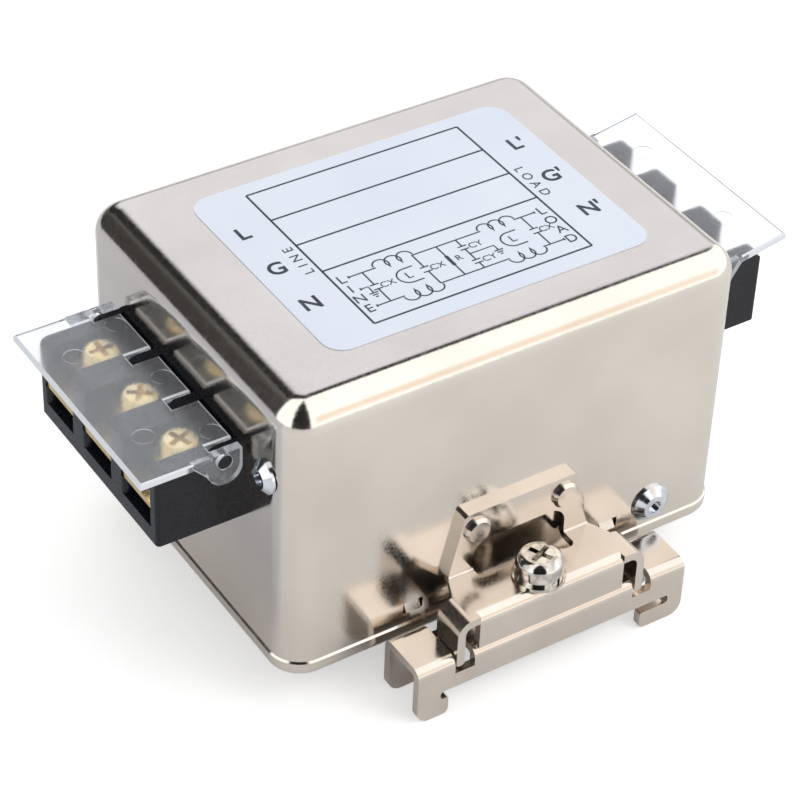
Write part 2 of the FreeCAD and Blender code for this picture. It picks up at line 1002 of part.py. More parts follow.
# Rail bracket: riveted flange, shelf, front panel and two legs, all bent from one sheet.
def rail_bracket():
    back = side_y
    outer_crease = crease_radius + bracket_sheet
    front_inner = front_bend_radius - bracket_sheet
    flange_top = shelf_height + flange_height
    section = [
        (back, flange_top, 0),
        (back, shelf_bottom, outer_crease),
        (shelf_front + front_bend_radius, shelf_bottom, 0),
        (shelf_front + front_bend_radius, shelf_height, 0),
        (flange_face, shelf_height, crease_radius),
        (flange_face, flange_top, 0),
    ]
    wide = leg_span / 2
    strip = slab(section, in_yz, -wide, wide)
    base_half = flange_base_width / 2
    top_half = flange_top_width / 2
    front_view = [
        (-wide, shelf_bottom - cut_over, 0),
        (wide, shelf_bottom - cut_over, 0),
        (wide, shelf_height, 0),
        (base_half, shelf_height, 0),
        (top_half, flange_top, flange_corner),
        (-top_half, flange_top, flange_corner),
        (-base_half, shelf_height, 0),
        (-wide, shelf_height, 0),
    ]
    bend_start = leg_span / 2 - leg_bend_radius
    step_y = side_y - shelf_step
    plan_view = [
        (-base_half, back + cut_over, 0),
        (base_half, back + cut_over, 0),
        (base_half, flange_face, 0),
        (bend_start, step_y, step_corner),
        (bend_start, shelf_front, 0),
        (-bend_start, shelf_front, 0),
        (-bend_start, step_y, step_corner),
        (-base_half, flange_face, 0),
    ]
    strip = strip.common(slab(front_view, in_xz, shelf_front - cut_over, back + cut_over))
    strip = strip.common(slab(plan_view, in_xy, 0, flange_top + cut_over))
    panel_section = [
        (shelf_front + front_bend_radius, shelf_height, 0),
        (shelf_front, shelf_height, front_bend_radius),
        (shelf_front, clip_height, 0),
        (shelf_front + bracket_sheet, clip_height, 0),
        (shelf_front + bracket_sheet, shelf_bottom, front_inner),
        (shelf_front + front_bend_radius, shelf_bottom, 0),
    ]
    panel = slab(panel_section, in_yz, -front_panel_width / 2, front_panel_width / 2)
    leg_outer = leg_span / 2
    leg_foot = notch_bottom + leg_clearance
    leg_section = [
        (front_panel_width / 2, shelf_height, 0),
        (leg_outer, shelf_height, leg_bend_radius),
        (leg_outer, leg_foot, leg_foot_corner),
        (leg_outer - bracket_sheet, leg_foot, leg_foot_corner),
        (leg_outer - bracket_sheet, shelf_bottom, leg_bend_radius - bracket_sheet),
        (front_panel_width / 2, shelf_bottom, 0),
    ]
    leg = slab(leg_section, in_xz, shelf_front, shelf_front + leg_depth)
    other_leg = leg.mirror(ORIGIN, X_AXIS)
    bracket = fuse([strip, panel, leg, other_leg])
    return bracket.cut(group(bracket_cuts()))


def bracket_cuts():
    half = window_width / 2
    reach_y = flange_face - window_reach + bracket_sheet
    window = slab(
        [
            (-half, shelf_bottom - cut_over, 0),
            (half, shelf_bottom - cut_over, 0),
            (half, shelf_height + window_rise, window_corner),
            (-half, shelf_height + window_rise, window_corner),
        ],
        in_xz,
        reach_y,
        side_y + cut_over,
    )
    cuts = [window]
    for side in (-1, 1):
        outer = side * half
        inner = side * (half - relief_width)
        relief = slab(
            [
                (min(outer, inner), reach_y - relief_reach, relief_corner),
                (max(outer, inner), reach_y - relief_reach, relief_corner),
                (max(outer, inner), reach_y + cut_over, 0),
                (min(outer, inner), reach_y + cut_over, 0),
            ],
            in_xy,
            shelf_bottom - cut_over,
            shelf_height + cut_over,
        )
        rivet_x = side * bracket_rivet_spacing / 2
        rivet_start = V(rivet_x, flange_face - cut_over, shelf_height + bracket_rivet_rise)
        rivet_hole = rod(bracket_rivet_shank + fit_gap, rivet_start, Y_AXIS, bracket_sheet + 2 * cut_over)
        cuts += [relief, rivet_hole]
    screw_start = V(screw_x, screw_y, shelf_bottom - cut_over)
    cuts.append(rod(clip_screw_radius + loose_gap, screw_start, Z_AXIS, bracket_sheet + 2 * cut_over))
    return cuts


# Rail clip: inverted channel with a shallow hook and a deep hook on each wall.
def rail_clip():
    inner_radius = clip_bend_radius - clip_sheet
    section = [
        (clip_front, 0, 0),
        (clip_front + clip_sheet, 0, 0),
        (clip_front + clip_sheet, clip_web_bottom, inner_radius),
        (clip_rear - clip_sheet, clip_web_bottom, inner_radius),
        (clip_rear - clip_sheet, 0, 0),
        (clip_rear, 0, 0),
        (clip_rear, clip_height, clip_bend_radius),
        (clip_front, clip_height, clip_bend_radius),
    ]
    channel = slab(section, in_yz, clip_left, clip_right)
    fixed_tip = fixed_slot_x + fixed_hook_grip
    deep_tip = deep_slot_x - deep_hook_grip
    seat = rail_seat_height
    slot_end = (seat - slot_bottom) * slot_end_round
    side_view = [
        (clip_left, clip_height + cut_over, 0),
        (clip_left, 0, hook_corner),
        (fixed_tip, 0, hook_tip_radius),
        (fixed_tip, slot_bottom, hook_heel_radius),
        (fixed_slot_x, slot_bottom, slot_end),
        (fixed_slot_x, seat, slot_end),
        (deep_slot_x, seat, slot_end),
        (deep_slot_x, slot_bottom, slot_end),
        (deep_tip, slot_bottom, hook_heel_radius),
        (deep_tip, 0, hook_tip_radius),
        (clip_right, 0, hook_corner),
        (clip_right, clip_height + cut_over, 0),
    ]
    clip = channel.common(slab(side_view, in_xz, clip_front - cut_over, clip_rear + cut_over))
    cuts = []
    for side in (-1, 1):
        x = clip_slide + side * clip_notch_spacing / 2
        notch = box(
            x - clip_notch_width / 2,
            x + clip_notch_width / 2,
            clip_front - cut_over,
            clip_rear + cut_over,
            notch_bottom,
            clip_height + cut_over,
        )
        cuts.append(notch)
    clip = clip.cut(group(cuts))
    collar_start = V(screw_x, screw_y, clip_web_bottom - collar_height)
    collar = rod(collar_radius, collar_start, Z_AXIS, collar_height + clip_sheet / 2)
    clip = clip.fuse(collar).removeSplitter()
    tap_start = V(screw_x, screw_y, clip_web_bottom - collar_height - cut_over)
    return clip.cut(rod(tap_radius, tap_start, Z_AXIS, collar_height + clip_sheet + 2 * cut_over))


def flat_washer():
    ring = rod(flat_washer_radius, V(screw_x, screw_y, shelf_height), Z_AXIS, flat_washer_sheet)
    start = V(screw_x, screw_y, shelf_height - cut_over)
    return ring.cut(rod(clip_screw_radius + loose_gap, start, Z_AXIS, flat_washer_sheet + 2 * cut_over))


def spring_washer():
    bottom = shelf_height + flat_washer_sheet
    top = bottom + spring_washer_sheet
    ring = rod(spring_washer_radius, V(screw_x, screw_y, bottom), Z_AXIS, spring_washer_sheet)
    start = V(screw_x, screw_y, bottom - cut_over)
    hole = rod(clip_screw_radius + loose_gap, start, Z_AXIS, spring_washer_sheet + 2 * cut_over)
    split = box(
        screw_x,
        screw_x + spring_washer_radius + cut_over,
        screw_y - spring_washer_split / 2,
        screw_y + spring_washer_split / 2,
        bottom - cut_over,
        top + cut_over,
    )
    split.rotate(V(screw_x, screw_y, 0), Z_AXIS, spring_washer_turn)
    return ring.cut(group([hole, split]))


def clip_screw():
    seat = shelf_height + flat_washer_sheet + spring_washer_sheet
    screw = pan_screw(
        screw_x,
        screw_y,
        seat,
        clip_screw_head,
        clip_screw_head_height,
        clip_screw_dome,
        clip_screw_radius,
        clip_screw_length,
    )
    top = seat + clip_screw_head_height
    recess = cross_recess(
        screw_x,
        screw_y,
        top,
        recess_span,
        recess_width,
        recess_depth,
        recess_turn,
    )
    return screw.cut(recess)


def pillar_places():
    half_x = board_length / 2 - pillar_inset
    half_y = board_width / 2 - pillar_inset
    return [(x, y) for x in (-half_x, half_x) for y in (-half_y, half_y)]


def board_pillars():
    pillars = []
    foot = can_bottom + can_sheet
    for x, y in pillar_places():
        points = [
            (0, foot),
            (pillar_pin_radius, foot),
            (pillar_pin_radius, base_top),
            (pillar_radius, base_top),
            (pillar_radius, board_bottom),
            (pillar_pin_radius, board_bottom),
            (pillar_pin_radius, board_top + pin_stub),
            (0, board_top + pin_stub),
        ]
        pillars.append(turned(points, V(x, y, 0), Z_AXIS))
    return group(pillars)


def circuit_board():
    board = rounded_prism(board_length, board_width, board_corner, board_bottom, board_top)
    below = board_bottom - cut_over
    depth = board_sheet + 2 * cut_over
    holes = [rod(pillar_pin_radius + fit_gap, V(x, y, below), Z_AXIS, depth) for x, y in pillar_places()]
    for x, y in lead_places():
        holes.append(rod(lead_radius + fit_gap, V(x, y, below), Z_AXIS, depth))
    for x in (tail_wire_x, -tail_wire_x):
        for y in poles:
            if abs(x) < board_length / 2:
                holes.append(rod(tail_wire_radius + fit_gap, V(x, y, below), Z_AXIS, depth))
    return board.cut(group(holes))


def capacitor_places():
    middle = (capacitor_count - 1) / 2
    return [(capacitor_spacing * (i - middle), capacitor_row) for i in range(capacitor_count)]


def y_capacitor_places():
    outer = -1.5 * y_capacitor_spacing
    return [(outer, y_capacitor_row), (outer + y_capacitor_spacing, y_capacitor_row)]


def lead_places():
    places = []
    for x, y in capacitor_places():
        places += [(x - lead_pitch / 2, y), (x + lead_pitch / 2, y)]
    for x, y in y_capacitor_places():
        places += [(x - y_capacitor_radius / 2, y), (x + y_capacitor_radius / 2, y)]
    half = resistor_lead_pitch / 2
    places += [(resistor_x - half, y_capacitor_row), (resistor_x + half, y_capacitor_row)]
    return places


def leads(places, top):
    bottom = board_bottom - lead_stub
    return [rod(lead_radius, V(x, y, bottom), Z_AXIS, top - bottom) for x, y in places]


# Film capacitors: cased boxes on two leads.
def x_capacitors():
    bodies = []
    for x, y in capacitor_places():
        case = rounded_prism(
            capacitor_length,
            capacitor_width,
            0,
            board_top,
            board_top + capacitor_height,
            x,
            y,
        )
        ends = [(x - lead_pitch / 2, y), (x + lead_pitch / 2, y)]
        pins = leads(ends, board_top + pin_stub)
        bodies.append(fuse([case] + pins))
    return group(bodies)


# Disc capacitors from each pole to the can.
def y_capacitors():
    bodies = []
    for x, y in y_capacitor_places():
        centre = board_top + y_capacitor_radius + y_capacitor_lift
        start = V(x, y - y_capacitor_width / 2, centre)
        disc = rod(y_capacitor_radius, start, Y_AXIS, y_capacitor_width)
        offset = y_capacitor_radius / 2
        pins = leads([(x - offset, y), (x + offset, y)], centre)
        bodies.append(fuse([disc] + pins))
    return group(bodies)


def bleed_resistor():
    axis_z = board_top + resistor_radius
    half = resistor_length / 2
    barrel = rod(resistor_radius, V(resistor_x - half, y_capacitor_row, axis_z), X_AXIS, resistor_length)
    reach = resistor_lead_pitch / 2
    wire = rod(lead_radius, V(resistor_x - reach, y_capacitor_row, axis_z), X_AXIS, resistor_lead_pitch)
    ends = [(resistor_x - reach, y_capacitor_row), (resistor_x + reach, y_capacitor_row)]
    pins = leads(ends, axis_z + lead_radius)
    return fuse([barrel, wire] + pins)


# Chokes: ring core lying flat, two windings on it and an insulating divider between them.
def choke_core():
    bottom = board_top + core_rise
    ring = rod(core_outer_radius, V(0, 0, bottom), Z_AXIS, core_height)
    hole = rod(core_inner_radius, V(0, 0, bottom - cut_over), Z_AXIS, core_height + 2 * cut_over)
    return ring.cut(hole)


def choke_windings():
    bottom = board_top + core_rise
    outer = core_outer_radius + fit_gap
    inner = core_inner_radius - fit_gap
    low = bottom - fit_gap
    high = bottom + core_height + fit_gap
    half = turn_wire / 2
    span = turn_pitch_angle * (turn_count - 1)
    windings = []
    for middle in winding_angles:
        start = middle - span / 2
        turns = []
        for i in range(turn_count):
            loop = box(inner - turn_wire, outer + turn_wire, -half, half, low - turn_wire, high + turn_wire)
            loop.rotate(ORIGIN, Z_AXIS, start + turn_pitch_angle * i)
            turns.append(loop)
        sleeve_section = [
            (inner - half, low - half, 0),
            (outer + half, low - half, 0),
            (outer + half, high + half, 0),
            (inner - half, high + half, 0),
        ]
        sleeve = outline(sleeve_section, in_xz).revolve(ORIGIN, Z_AXIS, span)
        sleeve.rotate(ORIGIN, Z_AXIS, start)
        core_space = [
            (inner, low, 0),
            (outer, low, 0),
            (outer, high, 0),
            (inner, high, 0),
        ]
        space = outline(core_space, in_xz).revolve(ORIGIN, Z_AXIS, 360)
        windings.append(fuse([sleeve] + turns).cut(space))
    return group(windings)


def choke_divider():
    bottom = board_top
    top = board_top + core_rise + core_height + turn_wire + divider_margin
    half = core_inner_radius - fit_gap
    wall = box(-half, half, -divider_sheet / 2, divider_sheet / 2, bottom, top)
    foot = rod(half - turn_wire - loose_gap, V(0, 0, bottom), Z_AXIS, core_rise)
    return fuse([wall, foot])


def at_chokes(shape):
    placed = []
    for side in (-1, 1):
        copy = shape.copy()
        copy.translate(V(side * choke_spacing / 2, choke_row, 0))
        placed.append(copy)
    return placed


# Solid wires from the terminal tails down to the board.
def tail_wires():
    bottom = board_bottom - lead_stub
    top = plate_top + tail_wire_stub
    return group([rod(tail_wire_radius, V(tail_wire_x, y, bottom), Z_AXIS, top - bottom) for y in poles])


def main():
    os.makedirs("parts", exist_ok=True)
    save("can_shell", can_shell())
    save("base_plate", base_plate())
    save("rating_label", rating_label())
    line_pieces = {
        "terminal_block": terminal_block(),
        "terminal_plates": terminal_plates(),
        "terminal_screws": terminal_screws(),
        "clamp_washers": clamp_washers(),
        "tail_wires": tail_wires(),
    }
    for name, shape in line_pieces.items():
        save(name + "_line", shape)
        save(name + "_load", to_load_end(shape))
    fork = retaining_fork()
    save("retaining_fork_line", fork)
    save("retaining_fork_load", turned_to_load_end(fork))
    save("terminal_cover_line", terminal_cover())
    save("terminal_cover_load", load_cover())
    front_pieces = {"rail_bracket": rail_bracket(), "rail_clip": rail_clip()}
    for name, shape in front_pieces.items():
        save(name + "_front", shape)
        save(name + "_back", to_back(shape))
    for name, shape in (
        ("clip_screws", clip_screw()),
        ("spring_washers", spring_washer()),
        ("flat_washers", flat_washer()),
    ):
        save(name, group([shape, to_back(shape)]))
    save("block_rivets", block_rivets())
    save("base_rivets", base_rivets())
    save("bracket_rivets", bracket_rivets())
    save("circuit_board", circuit_board())
    save("board_pillars", board_pillars())
    for name, shape in (
        ("choke_core", choke_core()),
        ("choke_windings", choke_windings()),
        ("choke_divider", choke_divider()),
    ):
        line, load = at_chokes(shape)
        save(name + "_line", line)
        save(name + "_load", load)
    save("x_capacitors", x_capacitors())
    save("y_capacitors", y_capacitors())
    save("bleed_resistor", bleed_resistor())


main()
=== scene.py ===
import bpy
import json
import math
from mathutils import Matrix, Vector

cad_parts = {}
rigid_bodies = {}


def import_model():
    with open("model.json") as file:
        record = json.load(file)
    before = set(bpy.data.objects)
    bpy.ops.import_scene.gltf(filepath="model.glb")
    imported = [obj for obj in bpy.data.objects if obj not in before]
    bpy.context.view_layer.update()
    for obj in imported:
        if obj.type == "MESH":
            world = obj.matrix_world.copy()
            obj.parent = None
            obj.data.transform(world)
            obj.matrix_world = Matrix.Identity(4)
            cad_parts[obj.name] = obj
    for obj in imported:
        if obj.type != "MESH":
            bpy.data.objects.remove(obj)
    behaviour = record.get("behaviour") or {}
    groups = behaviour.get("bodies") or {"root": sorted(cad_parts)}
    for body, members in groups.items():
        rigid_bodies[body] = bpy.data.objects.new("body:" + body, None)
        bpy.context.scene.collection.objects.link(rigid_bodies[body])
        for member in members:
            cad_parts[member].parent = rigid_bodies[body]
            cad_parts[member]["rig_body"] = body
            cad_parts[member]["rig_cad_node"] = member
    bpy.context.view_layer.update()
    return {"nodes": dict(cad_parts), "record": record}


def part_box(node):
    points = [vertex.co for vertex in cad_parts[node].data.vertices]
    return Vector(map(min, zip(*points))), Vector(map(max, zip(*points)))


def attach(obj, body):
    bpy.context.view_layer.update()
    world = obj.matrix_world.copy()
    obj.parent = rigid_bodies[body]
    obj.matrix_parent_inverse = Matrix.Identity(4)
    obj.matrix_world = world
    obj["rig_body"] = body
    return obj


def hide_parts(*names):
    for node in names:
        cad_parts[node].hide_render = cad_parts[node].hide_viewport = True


# Two-stage mains filter: finishes for the metal, plastic and label, the print on the label,
# and a plain bright studio. Sizes are in metres, and in millimetres where a comment says so.

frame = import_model()

MM = 0.001
WHITE = (1.0, 1.0, 1.0)

# Camera
CAMERA_PLACE = Vector((-165.62, -245.47, 259.41)) * MM
CAMERA_AZIMUTH = math.radians(-33.849)
CAMERA_ELEVATION = math.radians(38.905)
CAMERA_ROLL = math.radians(2.296)
CAMERA_LENS = 125.96
CAMERA_SENSOR = 36.0
CAMERA_CLIP = (0.01, 20.0)

# Smoothing of the copies of CAD nodes: angle in degrees, distance within which points merge, and
# how much more large faces count than small ones
SMOOTH_ANGLE = 32.0
MERGE_DISTANCE = 0.000001
FLAT_WEIGHT = 100
# Nodes that no view shows are named with one of these words
HIDDEN_WORDS = ("choke", "board", "capacitor", "resistor", "tail_wires")

# Label and the ink on it, in millimetres
LABEL_CORNER = 3.0
LABEL_CORNER_STEPS = 10
LABEL_SMOOTH_ANGLE = 40
LABEL_TOP_DROP = 0.035
INK_DROP = 0.005
INK_SHEET = 0.02

# Printed frame: millimetres on the label
PRINT_LEFT = -15.5
PRINT_RIGHT = 17.5
PRINT_BACK = 16.4
PRINT_FRONT = -15.3
ROW_RULES = (10.0, 3.63, -2.83)
FRAME_STROKE = 0.30

# Printed circuit: millimetres on the label
WIRE_STROKE = 0.22
LINE_WIRE_Y = -5.54
NEUTRAL_WIRE_Y = -12.38
CIRCUIT_LEFT = -13.25
CIRCUIT_RIGHT = 15.17
CIRCUIT_MIDDLE_Y = -8.96
COILS = ((-9.2, -3.8), (6.7, 11.9))
COIL_CORE_XS = (-6.5, 9.35)
COIL_CORE_RADIUS = 1.5
X_CAPACITOR_XS = (-11.25, -3.79, 13.04)
Y_CAPACITOR_X = 2.85
UPPER_Y_CAPACITOR_Y = -7.45
LOWER_Y_CAPACITOR_Y = -10.75
X_PLATE_GAP = 0.5
Y_PLATE_GAP = 0.35
PLATE_WIDTH = 1.3
RESISTOR_X = -0.12
RESISTOR_ENDS = (-7.85, -10.05)
RESISTOR_STROKE = 0.5
GROUND_X = 6.5
GROUND_Y = -10.1
EARTH_INLET_Y = -8.46
EARTH_INLET_X = -12.2
EARTH_INLET_GROUND_Y = -9.9
GROUND_BARS = (1.3, 0.85, 0.4)
GROUND_BAR_PITCH = 0.42
DOT_REACH = 0.12
DOT_STROKE = 0.48
ARC_STEPS = 16

# Humps of a printed coil: shares of the hump's pitch and radius, and degrees
COIL_HUMPS = 3
HUMP_STEPS = 12
HUMP_RADIUS = 0.62
HUMP_RISE = 0.2
LOOP_DROP = 0.75
LOOP_START = 215
LOOP_END = -35

# Printed words: each with its place in millimetres on the label
TERMINAL_LETTERS = (
    ("L", -20.15, 9.1), ("G", -20.15, 0.45), ("N", -20.15, -7.95),
    ("L'", 22.3, 8.9), ("G'", 22.3, 0.3), ("N'", 22.3, -8.4),
)
TERMINAL_LETTER_SIZE = 3.55
TERMINAL_LETTER_WEIGHT = 0.07
# Word, place, turn in degrees and spacing
SIDE_WORDS = (("LINE", -16.85, 0.65, 90, 1.75), ("LOAD", 19.05, 0.55, -90, 1.6))
SIDE_WORD_SIZE = 2.0
# Word, x, and the y of its first and last letters
UPRIGHT_WORDS = (("LINE", -14.35, -5.65, -12.45), ("LOAD", 16.15, -5.75, -12.7))
UPRIGHT_LETTER_SIZE = 2.3
CIRCUIT_WORDS = (
    ("CX", -9.6, -9.1), ("CX", -2.15, -9.1), ("CX", 14.6, -9.15), ("R", 1.15, -9.0),
    ("CY", 4.6, -7.6), ("CY", 4.6, -10.9), ("L", -6.4, -9.0), ("L", 9.45, -9.0),
)
CIRCUIT_WORD_SIZE = 1.55
COIL_LETTER_SIZE = 1.9

# Lamps: name, place, target, width and depth, watts
LAMPS = (
    ("key_softbox", (0.45, -0.62, 0.72), (0.0, 0.0, 0.02), (0.55, 0.55), 2.6),
    ("top_softbox", (0.35, 0.55, 0.75), (0.0, 0.0, 0.03), (0.6, 0.6), 1.2),
)

# Studio brightness, and the bright and dark patches that the bare metal mirrors. Each patch is a
# colour and one or more limits. A limit is a direction, the cosine where the patch's edge starts
# and the cosine where it is full, and the patch lies where all its limits hold.
AIR_BRIGHTNESS = 0.72
ROOM_COLOUR = (0.42, 0.42, 0.42)
DARK_CORNER = ((0.045, 0.043, 0.045), ((-0.66, 0.70, 0.25), 0.35, 0.93))
WHITE_TENT = ((1.38, 1.38, 1.38), ((0.0, -1.0, 0.0), -0.56, -0.50))
WARM_SEAM = ((1.14, 1.01, 0.86), ((0.43, -0.84, 0.34), 0.970, 0.995))
CARD_RIM = ((0.02, 0.02, 0.02), ((0.33, 0.75, 0.57), 0.835, 0.865))
CARD = ((0.92, 0.94, 1.03), ((0.52, 0.74, 0.43), 0.895, 0.955))
TENT_GAP = (
    (0.02, 0.02, 0.02),
    ((0.525, -0.851, 0.0), -0.11, -0.06),
    ((-0.974, 0.226, 0.0), -0.17, -0.12),
)
REFLECTED_PATCHES = (DARK_CORNER, WHITE_TENT, WARM_SEAM, CARD_RIM, CARD, TENT_GAP)

# Floor: its glow, and a painted shade, seen only in reflections, on the part that the wall at the
# line end mirrors: the share of its light kept there. That part starts and is full at these
# distances away from the wall, and at these places along it, in millimetres.
FLOOR_SIZE = 6.0
FLOOR_COLOUR = (0.86, 0.86, 0.86)
FLOOR_ROUGHNESS = 0.9
FLOOR_GLOW = 0.45
END_FLOOR_SHADE = (0.76, 0.78, 0.85)
END_FLOOR_START = 6.0
END_FLOOR_FULL = 14.0
END_FLOOR_SIDE = -23.0
END_FLOOR_SIDE_FULL = -12.0

# Clear covers: dark and light tint with the scale of their patches, and lowest and highest
# roughness with the scale of its grain. A face is flat, or an ear's side, where its normal's part
# along the axis is in FACING_RANGE or over it. EAR_REACH and EAR_FADE are in millimetres.
COVER_IOR = 1.49
COVER_MIST = ((0.88, 0.91, 0.96), (0.94, 0.96, 0.99), 260.0)
COVER_FROSTING = (0.17, 0.21, 1800.0)
FACE_CLEARNESS = 0.93
FACING_RANGE = (0.75, 0.95)
# Edge faces are less clear, painted a pale colour and given a painted glow: a painted highlight for
# the light that the edges catch.
EDGE_CLEARNESS = 0.05
EDGE_PAINTED_GLOW = 0.12
EDGE_PAINTED_LIGHT_COLOUR = (0.70, 0.73, 0.78)
EAR_REACH = 5.0
EAR_FADE = 0.5
EAR_SMOOTHNESS = 0.5

# Plated or bare metals and moulded or coated bodies: dark and light colour, lowest and highest
# roughness, scale of the colour patches, scale of the grain, and depth of the grain in metres
METALS = {
    "plated_can": ((0.77, 0.71, 0.64), (0.83, 0.77, 0.70), 0.11, 0.19, 70.0, 2600.0, 0.000006),
    "plated_sheet": ((0.68, 0.65, 0.60), (0.76, 0.73, 0.68), 0.25, 0.38, 80.0, 2000.0, 0.000004),
    "plated_bracket": (
        (0.72, 0.65, 0.585), (0.78, 0.71, 0.64), 0.14, 0.22, 120.0, 2400.0, 0.000001
    ),
    "nickel_steel": ((0.44, 0.41, 0.37), (0.86, 0.83, 0.78), 0.08, 0.14, 900.0, 1300.0, 0.000018),
    "yellow_steel": ((0.90, 0.68, 0.30), (0.96, 0.80, 0.45), 0.22, 0.34, 500.0, 2600.0, 0.000002),
    "aluminium_rivet": (
        (0.66, 0.69, 0.75), (0.84, 0.87, 0.92), 0.10, 0.17, 700.0, 2600.0, 0.000004
    ),
    "brass": ((0.84, 0.60, 0.26), (0.92, 0.70, 0.36), 0.16, 0.28, 200.0, 2400.0, 0.000002),
    "copper_wire": ((0.62, 0.26, 0.11), (0.76, 0.36, 0.17), 0.20, 0.32, 300.0, 2000.0, 0.000003),
}
PLASTICS = {
    "black_plastic": (
        (0.007, 0.008, 0.012), (0.012, 0.013, 0.018), 0.20, 0.32, 90.0, 2200.0, 0.00001
    ),
    "label_film": ((0.77, 0.83, 0.95), (0.83, 0.88, 0.97), 0.38, 0.50, 45.0, 2400.0, 0.000004),
    "label_ink": (
        (0.030, 0.033, 0.050), (0.055, 0.060, 0.080), 0.40, 0.52, 600.0, 2600.0, 0.000002
    ),
    "board_laminate": (
        (0.33, 0.42, 0.13), (0.44, 0.52, 0.20), 0.35, 0.50, 300.0, 1500.0, 0.00001
    ),
    "capacitor_case": (
        (0.76, 0.58, 0.06), (0.84, 0.67, 0.10), 0.25, 0.35, 200.0, 1500.0, 0.000008
    ),
    "capacitor_coating": (
        (0.06, 0.24, 0.46), (0.10, 0.32, 0.56), 0.18, 0.30, 300.0, 1200.0, 0.00001
    ),
    "resistor_coating": (
        (0.54, 0.42, 0.28), (0.64, 0.52, 0.36), 0.25, 0.38, 400.0, 1500.0, 0.000008
    ),
    "ferrite": ((0.04, 0.04, 0.042), (0.08, 0.08, 0.082), 0.55, 0.75, 500.0, 2400.0, 0.00002),
    "divider_board": ((0.74, 0.73, 0.68), (0.84, 0.83, 0.79), 0.55, 0.70, 400.0, 2000.0, 0.00001),
}
# The one plastic that is less shiny than usual
DULL_PLASTIC = "black_plastic"
DULL_SHINE = 0.3
# Noise, and where most of its values lie
NOISE_DETAIL = 3.0
METAL_GRAIN_DETAIL = 4.0
NOISE_ROUGHNESS = 0.5
NOISE_LOW = 0.35
NOISE_HIGH = 0.65


# Node helpers

def fresh_material(name):
    material = bpy.data.materials.new(name)
    material.use_nodes = True
    return material, material.node_tree, material.node_tree.nodes["Principled BSDF"]


def object_noise(tree, scale, detail=NOISE_DETAIL):
    coordinates = tree.nodes.new("ShaderNodeTexCoord")
    noise = tree.nodes.new("ShaderNodeTexNoise")
    noise.inputs["Scale"].default_value = scale
    noise.inputs["Detail"].default_value = detail
    noise.inputs["Roughness"].default_value = NOISE_ROUGHNESS
    tree.links.new(coordinates.outputs["Object"], noise.inputs["Vector"])
    return noise.outputs["Fac"]


def value_range(tree, source, low, high, from_low=NOISE_LOW, from_high=NOISE_HIGH):
    node = tree.nodes.new("ShaderNodeMapRange")
    node.inputs["From Min"].default_value = from_low
    node.inputs["From Max"].default_value = from_high
    node.inputs["To Min"].default_value = low
    node.inputs["To Max"].default_value = high
    tree.links.new(source, node.inputs["Value"])
    return node.outputs["Result"]


def between(tree, share, at_none, at_full):
    # A value that goes from at_none to at_full as share goes from 0 to 1.
    return value_range(tree, share, at_none, at_full, 0.0, 1.0)


def two_values(tree, operation, first, second):
    node = tree.nodes.new("ShaderNodeMath")
    node.operation = operation
    tree.links.new(first, node.inputs[0])
    tree.links.new(second, node.inputs[1])
    return node.outputs["Value"]


def absolute_parts(tree, vector):
    # The sizes of a vector's x, y and z parts, without their signs.
    size = tree.nodes.new("ShaderNodeVectorMath")
    size.operation = "ABSOLUTE"
    parts = tree.nodes.new("ShaderNodeSeparateXYZ")
    tree.links.new(vector, size.inputs[0])
    tree.links.new(size.outputs["Vector"], parts.inputs["Vector"])
    return parts.outputs


def colour_between(tree, source, low, high):
    ramp = tree.nodes.new("ShaderNodeValToRGB")
    ramp.color_ramp.elements[0].position = NOISE_LOW
    ramp.color_ramp.elements[0].color = (*low, 1.0)
    ramp.color_ramp.elements[1].position = NOISE_HIGH
    ramp.color_ramp.elements[1].color = (*high, 1.0)
    tree.links.new(source, ramp.inputs["Fac"])
    return ramp.outputs["Color"]


def mixed_colour(tree, share, first, second):
    # first where share is 0 and second where it is 1; each is a colour or a socket.
    mix = tree.nodes.new("ShaderNodeMix")
    mix.data_type = "RGBA"
    tree.links.new(share, mix.inputs["Factor"])
    for socket, value in ((mix.inputs[6], first), (mix.inputs[7], second)):
        if isinstance(value, tuple):
            socket.default_value = (*value, 1.0)
        else:
            tree.links.new(value, socket)
    return mix.outputs[2]


def add_bump(tree, shader, height, depth):
    bump = tree.nodes.new("ShaderNodeBump")
    bump.inputs["Strength"].default_value = 1.0
    bump.inputs["Distance"].default_value = depth
    tree.links.new(height, bump.inputs["Height"])
    tree.links.new(bump.outputs["Normal"], shader.inputs["Normal"])


# Finishes

def grained_finish(name, look, detail):
    # Colour drifts in soft patches, and roughness and bump follow a fine grain.
    dark, light, rough_low, rough_high, patch_scale, grain_scale, grain_depth = look
    material, tree, shader = fresh_material(name)
    patches = object_noise(tree, patch_scale)
    tree.links.new(colour_between(tree, patches, dark, light), shader.inputs["Base Color"])
    grain = object_noise(tree, grain_scale, detail)
    roughness = value_range(tree, grain, rough_low, rough_high)
    tree.links.new(roughness, shader.inputs["Roughness"])
    add_bump(tree, shader, grain, grain_depth)
    return material, shader


